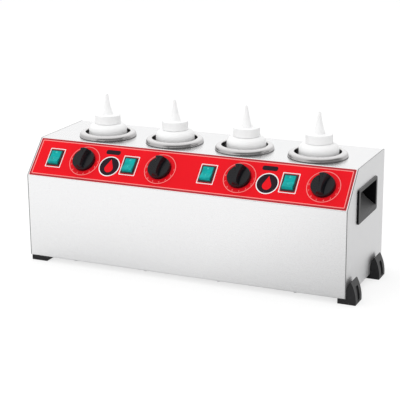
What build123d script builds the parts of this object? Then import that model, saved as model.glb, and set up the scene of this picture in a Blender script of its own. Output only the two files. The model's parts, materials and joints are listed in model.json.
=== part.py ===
from build123d import *
import os
from math import hypot, radians, sin, tan

# Electric warmer for squeeze bottles of topping: a folded stainless casing with a sloped
# control panel, four heated wells in its deck, and a squeeze bottle standing in each well.
# Millimetres. The casing is drawn in its own frame: x = 0 in the middle of its length,
# y = 0 on the outer face of the front apron, z = 0 on its bottom edge, +y to the rear.
# write_parts() then shifts everything, so that z = 0 is the counter under the feet.

# ---------------------------------------------------------------- driving dimensions
# casing
body_length = 600.0
body_depth = 206.0
body_height = 208.5
apron_height = 151.0
slope_run = 55.0
sheet = 1.5
bend_radius = 2.5
flange_width = 15.0
seam_gap = 0.3
base_vent_width = 3.0
base_vent_length = 44.0
base_vent_pitch = 14.0
base_vents_per_well = 5
rear_vent_width = 3.0
rear_vent_height = 36.0
rear_vent_pitch = 12.0
rear_vents_per_group = 9
rear_vent_group_offset = 120.0
rear_vent_level = 130.0

# wells in the deck
well_count = 4
first_well_inset = 106.0
last_well_inset = 90.2
well_setback = 112.8
well_depth = 164.0
well_sheet = 0.8
well_clearance = 6.1
well_floor_radius = 4.0
lip_width = 11.0
lip_height = 9.0
lip_roll = 1.4
lip_crown_run = 7.0
lip_crown_corner = 2.0
gasket_thickness = 0.8
gasket_proud = 0.3
deck_hole_clearance = 2.6

# heater bands and thermostat bulbs round the wells
heater_thickness = 3.5
heater_height = 55.0
heater_level = 9.0
heater_fit = 0.1
heater_gap = 8.0
heater_lug = 10.0
heater_lug_thickness = 2.0
clamp_nut_flats = 7.0
clamp_nut_thickness = 3.0
bulb_radius = 3.0
bulb_length = 60.0
bulb_level = 84.0
bulb_round = 1.8
capillary_radius = 1.0
capillary_bend = 6.0
capillary_drop = 11.0
capillary_sink = 2.0

# controls on the slope
first_switch_inset = 43.6
last_knob_inset = 50.7
switch_to_knob = 59.6
control_height = 40.3
overlay_thickness = 0.4
overlay_margin = 1.5
cutout_clearance = 0.15

# rocker switches
bezel_width = 25.6
bezel_height = 32.0
bezel_thickness = 2.0
bezel_edge = 0.8
switch_width = 22.0
switch_height = 28.5
switch_depth = 26.0
switch_well_depth = 9.5
rocker_width = 18.8
rocker_radius = 13.1
rocker_play = 0.3
rocker_valley = 3.4
rocker_slope_deg = 10.0
rocker_depth = 6.0
rocker_throw_deg = 20.0
rocker_pin_radius = 1.2
rocker_pin_length = 1.0
rocker_pin_rise = 0.1
rocker_edge = 0.6
pin_clearance = 0.05
terminal_width = 6.3
terminal_thickness = 0.8
terminal_length = 8.0
terminal_spacing = 10.0
terminal_row_spacing = 16.0

# thermostats and knobs
thermostat_size = 34.0
thermostat_depth = 26.0
thermostat_corner = 2.0
bushing_radius = 5.0
bushing_reach = 5.0
shaft_radius = 3.0
shaft_clearance = 0.05
shaft_inside = 18.0
shaft_outside = 11.0
shaft_flat = 1.2
nut_across_flats = 14.0
nut_thickness = 3.0
thread_fit = 0.05
knob_radius = 21.0
knob_height = 16.5
knob_lift = 1.0
knob_skirt = 7.6
knob_skirt_draft = 0.4
knob_skirt_round = 2.4
knob_grip_foot = 20.2
knob_grip_radius = 17.8
knob_waist = 4.6
knob_grip_end = 15.0
knob_scoop_drop = 7.0
knob_scoop_draft = 3.6
knob_edge = 1.2
knob_cavity_radius = 12.0
knob_play = 0.8
pointer_length = 9.0
pointer_width = 1.6
pointer_depth = 0.5

# squeeze bottles, each standing a little off the middle of its well
bottle_offsets = (0.0, 1.0, 3.4, 1.6)
bottle_radius = 34.5
bottle_height = 188.0
bottle_wall = 1.2
bottle_shoulder = 12.0
bottle_heel = 5.0
cap_radius = 23.5
cap_height = 15.2
cap_wall = 2.0
cap_edge = 1.0
thread_clearance = 0.3
cap_gap = 0.5
nozzle_length = 36.8
nozzle_root_radius = 10.5
nozzle_mid_radius = 5.5
nozzle_mid_height = 18.0
nozzle_tip_radius = 2.4
nozzle_wall = 1.2

# recessed carrying handles in the cheeks
handle_length = 106.4
handle_height = 60.0
handle_corner = 5.0
handle_lip = 3.5
handle_frame = 8.0
handle_head_frame = 5.6
handle_floor_frame = 9.5
handle_wall = 2.0
handle_reach = 29.0
handle_floor_rise = 30.0
handle_floor_sag = 2.5
handle_setback = 103.6
handle_level = 143.5
handle_fit = 0.5
handle_round = 1.6

# feet
foot_height = 9.5
foot_width = 31.6
foot_depth = 33.0
foot_corner = 1.2
foot_reach = 16.8
foot_skirt = 2.0
foot_hollow = 2.2
foot_fin_height = 30.0
foot_fin_lean = 7.8
foot_fin_crest = 1.4
foot_fin_crest_drop = 0.6
foot_contact = 13.0
foot_pocket_depth = 2.6
foot_pocket_width = 12.0
foot_pocket_low = -4.8
foot_pocket_high = 19.8
foot_pocket_lean = 4.6
foot_pocket_bow = 0.7
left_foot_inset = 0.5
front_foot_y = 2.5
rear_foot_y = 138.5

# fasteners
foot_screw_radius = 2.5
foot_screw_head_radius = 4.0
foot_screw_head = 3.0
foot_screw_sink = 5.0
foot_screw_inset = 8.5
foot_screw_pitch = 17.0
foot_nut_flats = 8.0
foot_nut_thickness = 4.0
foot_screw_over_nut = 2.0
case_screw_radius = 2.0
case_screw_head_radius = 3.6
case_screw_head = 2.2
case_screw_round = 1.3
case_screw_length = 8.0
case_screw_columns = 4
case_screw_inset = 90.0
cheek_base_screw_y = 90.0
cheek_rear_screw_zs = (60.0, 140.0)
screw_clearance = 0.1
slot_width = 1.0
slot_depth = 0.8
slot_end_slack = 0.01

# electrical inlet
gland_inset = 65.0
gland_level = 32.0
gland_bore_radius = 3.8
gland_thread_radius = 8.0
gland_hex_flats = 22.0
gland_hex = 4.0
gland_dome = 8.0
gland_dome_inset = 1.0
gland_dome_round = 3.6
gland_inside = 12.0
gland_nut_thickness = 5.0
block_inset = 130.0
block_length = 58.0
block_depth = 20.0
block_height = 16.0
block_poles = 3
block_gap = 8.0
block_corner = 1.5
block_wire_level = 7.2
block_wire_radius = 2.2
block_screw_radius = 2.4
block_screw_depth = 4.8
earth_stud_inset = 190.0
earth_stud_radius = 2.5
earth_stud_length = 16.0
earth_nut_flats = 8.0
earth_nut_thickness = 4.0
loom_radius = 3.0
riser_radius = 1.8
riser_sink = 4.0

# ---------------------------------------------------------------- derived places
slope_rise = body_height - apron_height
slope_length = hypot(slope_run, slope_rise)
slope_up = Vector(0, slope_run / slope_length, slope_rise / slope_length)
slope_out = Vector(0, -slope_rise / slope_length, slope_run / slope_length)
slope_frame = Plane(origin=(0, 0, apron_height), x_dir=(1, 0, 0), z_dir=slope_out).location
DIAGONAL = sin(radians(45))


def spaced(first, last, count):
    """Evenly spaced places from first to last."""
    return [first + i * (last - first) / (count - 1) for i in range(count)]


inner_rear = body_depth - sheet
well_radius = bottle_radius + well_clearance
well_outer = well_radius + well_sheet
lip_radius = well_radius + lip_width
deck_hole = well_outer + deck_hole_clearance
well_floor = body_height - well_depth
body_end = body_length / 2
well_xs = spaced(first_well_inset - body_end, body_end - last_well_inset, well_count)
knob_xs = spaced(first_switch_inset + switch_to_knob - body_end, body_end - last_knob_inset, well_count)
switch_xs = [x - switch_to_knob for x in knob_xs]
gland_x = gland_inset - body_end
block_x = block_inset - body_end
earth_stud_x = earth_stud_inset - body_end
case_screw_xs = spaced(case_screw_inset - body_end, body_end - case_screw_inset, case_screw_columns)

foot_screw_x = body_end - foot_screw_inset
foot_ys = {"front": front_foot_y, "rear": rear_foot_y}
foot_screw_offsets = ((foot_depth - foot_screw_pitch) / 2, (foot_depth + foot_screw_pitch) / 2)
foot_screw_points = [
    (side * foot_screw_x, y + dy)
    for side in (-1, 1)
    for y in foot_ys.values()
    for dy in foot_screw_offsets
]
front_flange_mid = flange_width / 2
rear_flange_mid = inner_rear - flange_width / 2
cheek_flange_mid = body_end - sheet - flange_width / 2
base_screw_points = [(x, y) for y in (front_flange_mid, rear_flange_mid) for x in case_screw_xs]
base_screw_points += [(side * cheek_flange_mid, cheek_base_screw_y) for side in (-1, 1)]
top_flange_mid = body_height - sheet - flange_width / 2
rear_screw_points = [(x, top_flange_mid) for x in case_screw_xs]
rear_screw_points += [(side * cheek_flange_mid, z) for side in (-1, 1) for z in cheek_rear_screw_zs]

MID = Align.CENTER
LOW = Align.MIN
HIGH = Align.MAX


# ---------------------------------------------------------------- small helpers
def on_slope(x, along, out=0.0):
    """Place on the sloped panel: x, distance up the slope, height above the sheet."""
    return slope_frame * Pos(x, along, out)


def block(low, high):
    """Box between two opposite corners."""
    size = [b - a for a, b in zip(low, high)]
    return Pos(*low) * Box(*size, align=(LOW, LOW, LOW))


def upright(x, y, z_low, z_high, radius):
    """Round bar standing along z."""
    return Pos(x, y, z_low) * Cylinder(radius, z_high - z_low, align=(MID, MID, LOW))


def lying(x, z, y_low, y_high, radius):
    """Round bar lying along y."""
    bar = Cylinder(radius, y_high - y_low, align=(MID, MID, LOW))
    return Pos(x, y_low, z) * Rot(-90, 0, 0) * bar


def hexagon(flats, thickness):
    """Hexagonal prism standing on z = 0."""
    return extrude(RegularPolygon(flats / 2, 6, major_radius=False), thickness)


def along_x(face, low, high):
    """Prism of a (y, z) outline between two x positions."""
    return Pos(low, 0, 0) * extrude(Plane.YZ * face, high - low)


def along_y(face, low, high):
    """Prism of an (x, z) outline between two y positions."""
    return Pos(0, high, 0) * extrude(Plane.XZ * face, high - low)


def turned(face):
    """Solid of revolution about z of a (radius, z) outline."""
    return revolve(Plane.XZ * face, Axis.Z)


def outline(*edges):
    """Face inside a closed chain of edges."""
    return make_face(Curve() + list(edges))


def drill_up(part, points, radius):
    """Vertical holes through the casing's bottom sheets."""
    for x, y in points:
        part -= upright(x, y, -sheet, 3 * sheet, radius)
    return part


def drill_rear(part, points, radius):
    """Horizontal holes through the casing's rear sheets."""
    for x, z in points:
        part -= lying(x, z, body_depth - 3 * sheet, body_depth + sheet, radius)
    return part


# ---------------------------------------------------------------- casing
def casing_outline(depth, inset=0.0):
    """Side outline of the casing with rounded folds, drawn in by inset."""
    corners = [(0, 0), (0, apron_height), (slope_run, body_height), (depth, body_height), (depth, 0)]
    face = make_face(Polyline(*corners, close=True))
    face = fillet(face.vertices(), bend_radius)
    return offset(face, -inset, kind=Kind.INTERSECTION) if inset else face


def make_front_top_shell():
    """Apron, sloped panel and deck folded from one sheet, with a flange at each end."""
    half = body_end - sheet
    skin = along_x(casing_outline(inner_rear) - casing_outline(inner_rear, sheet), -half, half)
    fold = sheet + bend_radius
    skin -= block((-half, flange_width, -1), (half, inner_rear + 1, fold))
    skin -= block((-half, inner_rear - fold, -1), (half, inner_rear + 1, body_height - flange_width))
    for x in well_xs:
        skin -= upright(x, well_setback, body_height - 2 * sheet, body_height + 1, deck_hole)
    for x in switch_xs:
        hole = Box(switch_width + 2 * cutout_clearance, switch_height + 2 * cutout_clearance, 4 * sheet)
        skin -= on_slope(x, control_height) * hole
    for x in knob_xs:
        skin -= on_slope(x, control_height) * Cylinder(bushing_radius + cutout_clearance, 4 * sheet)
    skin = drill_up(skin, foot_screw_points, foot_screw_radius + screw_clearance)
    skin = drill_up(skin, base_screw_points, case_screw_radius + screw_clearance)
    return drill_rear(skin, rear_screw_points, case_screw_radius + screw_clearance)


def handle_window(grow):
    """Rectangle with rounded corners of the handle's bucket, grown by grow, in (y, z)."""
    width = handle_length - 2 * handle_frame + 2 * handle_wall + 2 * grow
    height = handle_height - handle_head_frame - handle_floor_frame + 2 * handle_wall + 2 * grow
    middle = handle_level + (handle_floor_frame - handle_head_frame) / 2
    return Pos(handle_setback, middle) * RectangleRounded(width, height, handle_corner)


def make_right_cheek():
    """End sheet with flanges for the base and the rear panel and a window for the handle."""
    face = body_end
    inner = face - sheet
    cheek = along_x(casing_outline(body_depth) - handle_window(handle_fit), inner, face)
    flange_end = inner_rear - flange_width - seam_gap
    cheek += block((inner - flange_width, flange_width + seam_gap, 0), (inner, flange_end, sheet))
    flange_top = body_height - flange_width - seam_gap
    cheek += block((inner - flange_width, inner_rear - sheet, flange_width), (inner, inner_rear, flange_top))
    cheek = drill_up(cheek, foot_screw_points, foot_screw_radius + screw_clearance)
    cheek = drill_up(cheek, base_screw_points, case_screw_radius + screw_clearance)
    return drill_rear(cheek, rear_screw_points, case_screw_radius + screw_clearance)


def make_rear_panel():
    """Rear sheet between the cheeks, with a bottom flange, vents and the cable inlet."""
    half = body_end - sheet - seam_gap
    top = body_height - bend_radius - seam_gap
    panel = block((-half, inner_rear, 0), (half, body_depth, top))
    panel += block((-half, inner_rear - flange_width, 0), (half, body_depth, sheet))
    inlet = gland_thread_radius + screw_clearance
    panel -= lying(gland_x, gland_level, inner_rear - 1, body_depth + 1, inlet)
    slot = RectangleRounded(rear_vent_width, rear_vent_height, rear_vent_width / 2 - slot_end_slack)
    for side in (-1, 1):
        for i in range(rear_vents_per_group):
            x = side * rear_vent_group_offset + (i - (rear_vents_per_group - 1) / 2) * rear_vent_pitch
            panel -= along_y(Pos(x, rear_vent_level) * slot, inner_rear - 1, body_depth + 1)
    panel = drill_up(panel, foot_screw_points, foot_screw_radius + screw_clearance)
    panel = drill_up(panel, base_screw_points, case_screw_radius + screw_clearance)
    return drill_rear(panel, rear_screw_points, case_screw_radius + screw_clearance)


def make_base_plate():
    """Bottom sheet lying on the flanges, with vents under each well."""
    half = body_end - sheet - seam_gap
    front = bend_radius + seam_gap
    plate = block((-half, front, sheet), (half, inner_rear - sheet - seam_gap, 2 * sheet))
    slot = RectangleRounded(base_vent_width, base_vent_length, base_vent_width / 2 - slot_end_slack)
    for well_x in well_xs:
        for i in range(base_vents_per_well):
            x = well_x + (i - (base_vents_per_well - 1) / 2) * base_vent_pitch
            plate -= extrude(Pos(x, well_setback - well_outer / 4) * slot, 3 * sheet)
    plate -= upright(earth_stud_x, terminal_row_y(), 0, 3 * sheet, earth_stud_radius + screw_clearance)
    plate = drill_up(plate, foot_screw_points, foot_screw_radius + screw_clearance)
    return drill_up(plate, base_screw_points, case_screw_radius + screw_clearance)


def make_control_overlay():
    """Printed film over the whole slope, cut out for the switches and shafts."""
    width = body_length - 2 * sheet - 2 * overlay_margin
    film = RectangleRounded(width, slope_length - 2 * overlay_margin, overlay_margin)
    film = Pos(0, slope_length / 2) * film
    for x in switch_xs:
        hole = Rectangle(switch_width + 2 * cutout_clearance, switch_height + 2 * cutout_clearance)
        film -= Pos(x, control_height) * hole
    for x in knob_xs:
        film -= Pos(x, control_height) * Circle(bushing_radius + cutout_clearance)
    return slope_frame * extrude(film, overlay_thickness)


# ---------------------------------------------------------------- wells and heating
def make_well(x):
    """Deep-drawn cup with a raised rolled lip that stands on the deck's gasket."""
    deck = body_height
    rim = deck + lip_height
    seat = deck + gasket_thickness
    crown_out = lip_radius - lip_crown_run
    crown_mid = (lip_radius - lip_crown_corner, rim - lip_crown_corner)
    roll_x = well_radius + lip_roll
    floor_r = well_radius - well_floor_radius
    inner_roll = lip_roll - well_sheet
    outside = [
        Line((lip_radius, seat), (lip_radius, seat + well_sheet)),
        ThreePointArc((lip_radius, seat + well_sheet), crown_mid, (crown_out, rim)),
        Line((crown_out, rim), (roll_x, rim)),
        ThreePointArc(
            (roll_x, rim),
            (roll_x - lip_roll * DIAGONAL, rim - lip_roll * (1 - DIAGONAL)),
            (well_radius, rim - lip_roll),
        ),
        Line((well_radius, rim - lip_roll), (well_radius, well_floor + well_floor_radius)),
        ThreePointArc(
            (well_radius, well_floor + well_floor_radius),
            (floor_r + well_floor_radius * DIAGONAL, well_floor + well_floor_radius * (1 - DIAGONAL)),
            (floor_r, well_floor),
        ),
        Line((floor_r, well_floor), (0, well_floor)),
        Line((0, well_floor), (0, well_floor - well_sheet)),
    ]
    under_radius = well_floor_radius + well_sheet
    crown_under = (crown_mid[0] - well_sheet * DIAGONAL, crown_mid[1] - well_sheet * DIAGONAL)
    underside = [
        Line((0, well_floor - well_sheet), (floor_r, well_floor - well_sheet)),
        ThreePointArc(
            (floor_r, well_floor - well_sheet),
            (floor_r + under_radius * DIAGONAL, well_floor + well_floor_radius - under_radius * DIAGONAL),
            (well_outer, well_floor + well_floor_radius),
        ),
        Line((well_outer, well_floor + well_floor_radius), (well_outer, rim - lip_roll)),
        ThreePointArc(
            (well_outer, rim - lip_roll),
            (roll_x - inner_roll * DIAGONAL, rim - lip_roll + inner_roll * DIAGONAL),
            (roll_x, rim - well_sheet),
        ),
        Line((roll_x, rim - well_sheet), (crown_out, rim - well_sheet)),
        ThreePointArc(
            (crown_out, rim - well_sheet), crown_under, (lip_radius - well_sheet, seat + well_sheet)
        ),
        Line((lip_radius - well_sheet, seat + well_sheet), (lip_radius - well_sheet, seat)),
        Line((lip_radius - well_sheet, seat), (lip_radius, seat)),
    ]
    return Pos(x, well_setback, 0) * turned(outline(*outside, *underside))


def make_gasket(x):
    """Flat silicone ring between the deck and the well's lip."""
    ring = Circle(lip_radius + gasket_proud) - Circle(deck_hole)
    return Pos(x, well_setback, body_height) * extrude(ring, gasket_thickness)


def make_heater_band(x):
    """Clamped band heater round the lower part of a well, its lugs at the rear."""
    inner = well_outer + heater_fit
    outer = inner + heater_thickness
    low = well_floor + heater_level
    lug_half = heater_gap / 2 + heater_lug_thickness
    lug_end = outer + heater_lug
    band = extrude(Circle(outer) - Circle(inner), heater_height)
    lugs = block((-lug_half, inner + 1, 0), (lug_half, lug_end, heater_height))
    band += lugs - Cylinder(inner + 1, 3 * heater_height)
    band -= block((-heater_gap / 2, 0, -1), (heater_gap / 2, lug_end + 1, heater_height + 1))
    across = Rot(0, 90, 0) * Cylinder(case_screw_radius + screw_clearance, 4 * lug_half)
    for level in heater_screw_levels():
        band -= Pos(0, outer + heater_lug / 2, level) * across
    return Pos(x, well_setback, low) * band


def heater_screw_levels():
    """Heights of the clamp screws above the band's lower edge."""
    return (heater_height * 0.2, heater_height * 0.8)


def make_heater_screws(x):
    """Clamp screws through a band's lugs, each with its nut."""
    outer = well_outer + heater_fit + heater_thickness
    lug_half = heater_gap / 2 + heater_lug_thickness
    head = Cylinder(case_screw_head_radius, case_screw_head, align=(MID, MID, LOW))
    screws = []
    for level in heater_screw_levels():
        screw = Cylinder(case_screw_radius, 2 * (lug_half + clamp_nut_thickness), align=(MID, MID, MID))
        screw += Pos(0, 0, lug_half) * head
        screw += Pos(0, 0, -lug_half - clamp_nut_thickness) * hexagon(clamp_nut_flats, clamp_nut_thickness)
        place = Pos(x, well_setback + outer + heater_lug / 2, well_floor + heater_level + level)
        screws.append(place * Rot(0, 90, 0) * screw)
    return screws


def slope_point(along, out):
    """The (y, z) place that far up the slope and that far out of it."""
    spot = Vector(0, 0, apron_height) + slope_up * along + slope_out * out
    return spot.Y, spot.Z


def make_thermostat(x):
    """Capillary thermostat behind the slope, its bushing through the panel."""
    case = Box(thermostat_size, thermostat_size, thermostat_depth, align=(MID, MID, HIGH))
    case = fillet(case.edges().filter_by(Axis.Z), thermostat_corner)
    body = Pos(0, 0, -sheet) * case
    body += Pos(0, 0, -sheet) * Cylinder(bushing_radius, sheet + bushing_reach, align=(MID, MID, LOW))
    hole_depth = bushing_reach + shaft_inside + seam_gap
    bore = Cylinder(shaft_radius + shaft_clearance, hole_depth, align=(MID, MID, HIGH))
    body -= Pos(0, 0, bushing_reach) * bore
    for side in (-1, 1):
        blade = Box(terminal_width, terminal_thickness, terminal_length, align=(MID, MID, HIGH))
        body += Pos(side * terminal_spacing, 0, -sheet - thermostat_depth) * blade
    return on_slope(x, control_height) * body


def make_shaft(x):
    """Round thermostat spindle with a flat where the knob grips it."""
    shaft = Cylinder(shaft_radius, shaft_inside + shaft_outside, align=(MID, MID, LOW))
    shaft = Pos(0, 0, -shaft_inside) * shaft
    low = (-shaft_radius, shaft_radius - shaft_flat, bushing_reach + 1)
    shaft -= block(low, (shaft_radius, shaft_radius, shaft_outside))
    return on_slope(x, control_height) * shaft


def make_bushing_nut(x):
    """Thin hexagon nut that clamps a thermostat to the panel, hidden by the knob."""
    nut = hexagon(nut_across_flats, nut_thickness) - Cylinder(bushing_radius + thread_fit, 3 * nut_thickness)
    return on_slope(x, control_height, overlay_thickness) * nut


def make_bulb(well_x, knob_x):
    """Sensing bulb against the well, with its capillary up into the thermostat."""
    bulb_y = well_setback - well_outer - bulb_radius - heater_fit
    low = well_floor + bulb_level
    bend_z = low - capillary_drop
    under_y, _ = slope_point(control_height - thermostat_size / 2, -sheet - thermostat_depth / 2)
    _, case_z = slope_point(control_height, -sheet - thermostat_depth / 2)
    route = FilletPolyline(
        (well_x, bulb_y, low + capillary_sink),
        (well_x, bulb_y, bend_z),
        (knob_x, under_y, bend_z),
        (knob_x, under_y, case_z),
        radius=capillary_bend,
    )
    section = Plane(origin=route @ 0, z_dir=route % 0) * Circle(capillary_radius)
    bulb = upright(well_x, bulb_y, low, low + bulb_length, bulb_radius)
    bulb = fillet(bulb.edges(), bulb_round)
    return bulb + (sweep(section, path=route) - make_thermostat(knob_x))


# ---------------------------------------------------------------- switches
def make_switch_body(x):
    """Snap-in switch housing: bezel, box, well for the rocker, pin seats and blades."""
    bezel = Box(bezel_width, bezel_height, bezel_thickness, align=(MID, MID, LOW))
    bezel = fillet(bezel.edges().filter_by(Axis.Z), 2 * bezel_edge)
    bezel = chamfer(bezel.faces().sort_by(Axis.Z)[-1].edges(), bezel_edge)
    body = Pos(0, 0, overlay_thickness) * bezel
    body += Pos(0, 0, overlay_thickness) * Box(
        switch_width, switch_height, switch_depth + overlay_thickness, align=(MID, MID, HIGH)
    )
    well_width = rocker_width + 2 * rocker_play
    well_half = rocker_radius + rocker_play
    well_top = 2 * bezel_thickness + overlay_thickness
    body -= block((-well_width / 2, -well_half, -switch_well_depth), (well_width / 2, well_half, well_top))
    pin_seat = rocker_width / 2 + rocker_pin_length + rocker_play
    seat = Rot(0, 90, 0) * Cylinder(rocker_pin_radius + pin_clearance, 2 * pin_seat)
    body -= Pos(0, 0, rocker_pivot_out()) * seat
    for side in (-1, 1):
        for row in (-1, 1):
            blade = Box(terminal_width, terminal_thickness, terminal_length, align=(MID, MID, HIGH))
            body += Pos(side * terminal_spacing / 2, row * terminal_row_spacing / 2, -switch_depth) * blade
    return on_slope(x, control_height) * body


def rocker_pivot_out():
    """Height of the rocker's pins above the sheet."""
    return overlay_thickness + rocker_pin_rise


def make_rocker(x):
    """Rocker with a shallow V top on two stub pins, its upper end pressed at rest."""
    pivot = rocker_pivot_out()
    lift = rocker_radius * tan(radians(rocker_slope_deg))
    drum = Rot(0, 90, 0) * Cylinder(rocker_radius, rocker_width)
    section = [
        (-rocker_radius, -rocker_depth - pivot),
        (rocker_radius, -rocker_depth - pivot),
        (rocker_radius, rocker_valley + lift - pivot),
        (0, rocker_valley - pivot),
        (-rocker_radius, rocker_valley + lift - pivot),
    ]
    wedge = along_x(make_face(Polyline(*section, close=True)), -rocker_width / 2, rocker_width / 2)
    rocker = drum & wedge
    top_edges = rocker.edges().filter_by(Axis.X).sort_by(Axis.Z)[-2:]
    rocker = fillet(top_edges, rocker_edge)
    rocker += Rot(0, 90, 0) * Cylinder(rocker_pin_radius, rocker_width + 2 * rocker_pin_length)
    return on_slope(x, control_height, pivot) * Rot(-rocker_throw_deg / 2, 0, 0) * rocker


# ---------------------------------------------------------------- knobs
def make_knob(x):
    """Round knob, pointer up, its grip wide at the pointer and narrow below, between two finger scoops."""
    skirt = Cone(knob_radius, knob_radius - knob_skirt_draft, knob_skirt, align=(MID, MID, LOW))
    skirt = fillet(skirt.edges().sort_by(Axis.Z)[-1], knob_skirt_round)
    grip_low = knob_skirt - knob_skirt_round
    grip = Cone(knob_grip_foot, knob_grip_radius, knob_height - grip_low, align=(MID, MID, LOW))
    grip = Pos(0, 0, grip_low) * grip
    grip = fillet(grip.edges().sort_by(Axis.Z)[-1], knob_edge)
    flare = (knob_grip_end - knob_waist) / 2
    scoop = ((knob_grip_radius + knob_scoop_drop) ** 2 + flare**2) / (2 * flare)
    cutter = Cone(scoop - knob_scoop_draft, scoop, knob_height - knob_skirt, align=(MID, MID, LOW))
    for side in (-1, 1):
        grip -= Pos(side * (scoop + knob_waist / 2), -knob_scoop_drop, knob_skirt) * cutter
    knob = skirt + grip
    standing = overlay_thickness + knob_lift
    knob -= Cylinder(knob_cavity_radius, nut_thickness - knob_lift + knob_play, align=(MID, MID, LOW))
    neck = bushing_reach - standing + knob_play
    knob -= Cylinder(bushing_radius + knob_play, neck, align=(MID, MID, LOW))
    bore = shaft_outside - standing + seam_gap
    knob -= Cylinder(shaft_radius + shaft_clearance, bore, align=(MID, MID, LOW))
    pointer = Box(pointer_width, pointer_length, 2 * pointer_depth, align=(MID, HIGH, MID))
    knob -= Pos(0, knob_grip_radius, knob_height) * pointer
    return on_slope(x, control_height, standing) * knob


# ---------------------------------------------------------------- bottles
def neck_radius():
    """Outer radius of the bottle's neck, inside the cap's skirt."""
    return cap_radius - cap_wall - thread_clearance


def make_bottle(x):
    """Blow-moulded squeeze bottle, open at its neck, standing on the well's floor."""
    shoulder = bottle_height
    turn = bottle_shoulder * (1 - DIAGONAL)
    neck_top = shoulder + cap_gap + cap_height - cap_wall
    neck = neck_radius()
    body = turned(
        outline(
            Line((0, 0), (bottle_radius - bottle_heel, 0)),
            ThreePointArc(
                (bottle_radius - bottle_heel, 0),
                (bottle_radius - bottle_heel * (1 - DIAGONAL), bottle_heel * (1 - DIAGONAL)),
                (bottle_radius, bottle_heel),
            ),
            Line((bottle_radius, bottle_heel), (bottle_radius, shoulder - bottle_shoulder)),
            ThreePointArc(
                (bottle_radius, shoulder - bottle_shoulder),
                (bottle_radius - turn, shoulder - turn),
                (bottle_radius - bottle_shoulder, shoulder),
            ),
            Line((bottle_radius - bottle_shoulder, shoulder), (neck, shoulder)),
            Line((neck, shoulder), (neck, neck_top)),
            Line((neck, neck_top), (0, neck_top)),
            Line((0, neck_top), (0, 0)),
        )
    )
    hollow_radius = bottle_radius - bottle_wall
    hollow_top = shoulder - bottle_wall
    cavity = Cylinder(hollow_radius, hollow_top - bottle_wall, align=(MID, MID, LOW))
    cavity = Pos(0, 0, bottle_wall) * cavity
    cavity = fillet(cavity.edges().sort_by(Axis.Z)[-1], bottle_shoulder - bottle_wall)
    cavity = fillet(cavity.edges().sort_by(Axis.Z)[0], bottle_heel - bottle_wall)
    cavity += Pos(0, 0, hollow_top - 1) * Cylinder(neck - bottle_wall, neck_top, align=(MID, MID, LOW))
    return Pos(x, well_setback, well_floor) * (body - cavity)


def make_cap(x):
    """Screw cap with a long hollow nozzle cone."""
    skirt = Cylinder(cap_radius, cap_height, align=(MID, MID, LOW))
    skirt = fillet(skirt.edges().sort_by(Axis.Z)[-1], cap_edge)
    inner = cap_radius - cap_wall
    skirt -= Cylinder(inner, cap_height - cap_wall, align=(MID, MID, LOW))
    top = cap_height + nozzle_length
    cone = turned(
        outline(
            ThreePointArc(
                (nozzle_root_radius, cap_height - cap_edge),
                (nozzle_mid_radius, cap_height + nozzle_mid_height),
                (nozzle_tip_radius, top),
            ),
            Line((nozzle_tip_radius, top), (0, top)),
            Line((0, top), (0, cap_height - cap_edge)),
            Line((0, cap_height - cap_edge), (nozzle_root_radius, cap_height - cap_edge)),
        )
    )
    bore = turned(
        outline(
            ThreePointArc(
                (nozzle_root_radius - nozzle_wall, cap_height - cap_wall),
                (nozzle_mid_radius - nozzle_wall, cap_height + nozzle_mid_height),
                (nozzle_tip_radius - nozzle_wall, top + 1),
            ),
            Line((nozzle_tip_radius - nozzle_wall, top + 1), (0, top + 1)),
            Line((0, top + 1), (0, cap_height - cap_wall)),
            Line((0, cap_height - cap_wall), (nozzle_root_radius - nozzle_wall, cap_height - cap_wall)),
        )
    )
    cap = skirt + cone - bore
    return Pos(x, well_setback, well_floor + bottle_height + cap_gap) * cap


# ---------------------------------------------------------------- handles
def handle_floor(low, inset, sink):
    """Arc in (x, z) of the bucket's curved floor, from the mouth inwards, sunk into its wall."""
    deep = handle_reach + handle_lip
    mouth = (body_end + handle_lip - inset, low - sink)
    back = (mouth[0] - deep, mouth[1] + handle_floor_rise)
    run = hypot(deep, handle_floor_rise)
    middle = (
        (mouth[0] + back[0]) / 2 - handle_floor_sag * handle_floor_rise / run,
        (mouth[1] + back[1]) / 2 - handle_floor_sag * deep / run,
    )
    return ThreePointArc(mouth, middle, back)


def make_right_handle():
    """Moulded flush handle: lipped frame and a bucket whose curved floor rises inwards."""
    face = body_end
    plate = Pos(handle_setback, handle_level) * RectangleRounded(handle_length, handle_height, handle_corner)
    frame = along_x(plate, face, face + handle_lip)
    frame = fillet(frame.faces().sort_by(Axis.X)[-1].edges(), handle_round)
    back = face - handle_reach
    shell = along_x(handle_window(0), back - handle_wall, face)
    grip_low = handle_level - handle_height / 2 + handle_floor_frame
    grip_high = handle_level + handle_height / 2 - handle_head_frame
    under = handle_floor(grip_low, handle_wall, handle_wall)
    mouth, deep = under @ 0, under @ 1
    far, low = back - 2 * handle_wall, grip_low - 2 * handle_wall
    outer_cut = outline(
        under,
        Line((deep.X, deep.Y), (far, deep.Y)),
        Line((far, deep.Y), (far, low)),
        Line((far, low), (mouth.X, low)),
        Line((mouth.X, low), (mouth.X, mouth.Y)),
    )
    y_low = handle_setback - handle_length / 2
    y_high = handle_setback + handle_length / 2
    shell -= along_y(outer_cut, y_low, y_high)
    out = face + 2 * handle_lip
    hollow = outline(
        handle_floor(grip_low, 0, 0),
        Line((back, grip_low + handle_floor_rise), (back, grip_high)),
        Line((back, grip_high), (out, grip_high)),
        Line((out, grip_high), (out, grip_low)),
        Line((out, grip_low), (face + handle_lip, grip_low)),
    )
    return frame + shell - along_y(hollow, y_low + handle_frame, y_high - handle_frame)


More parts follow.
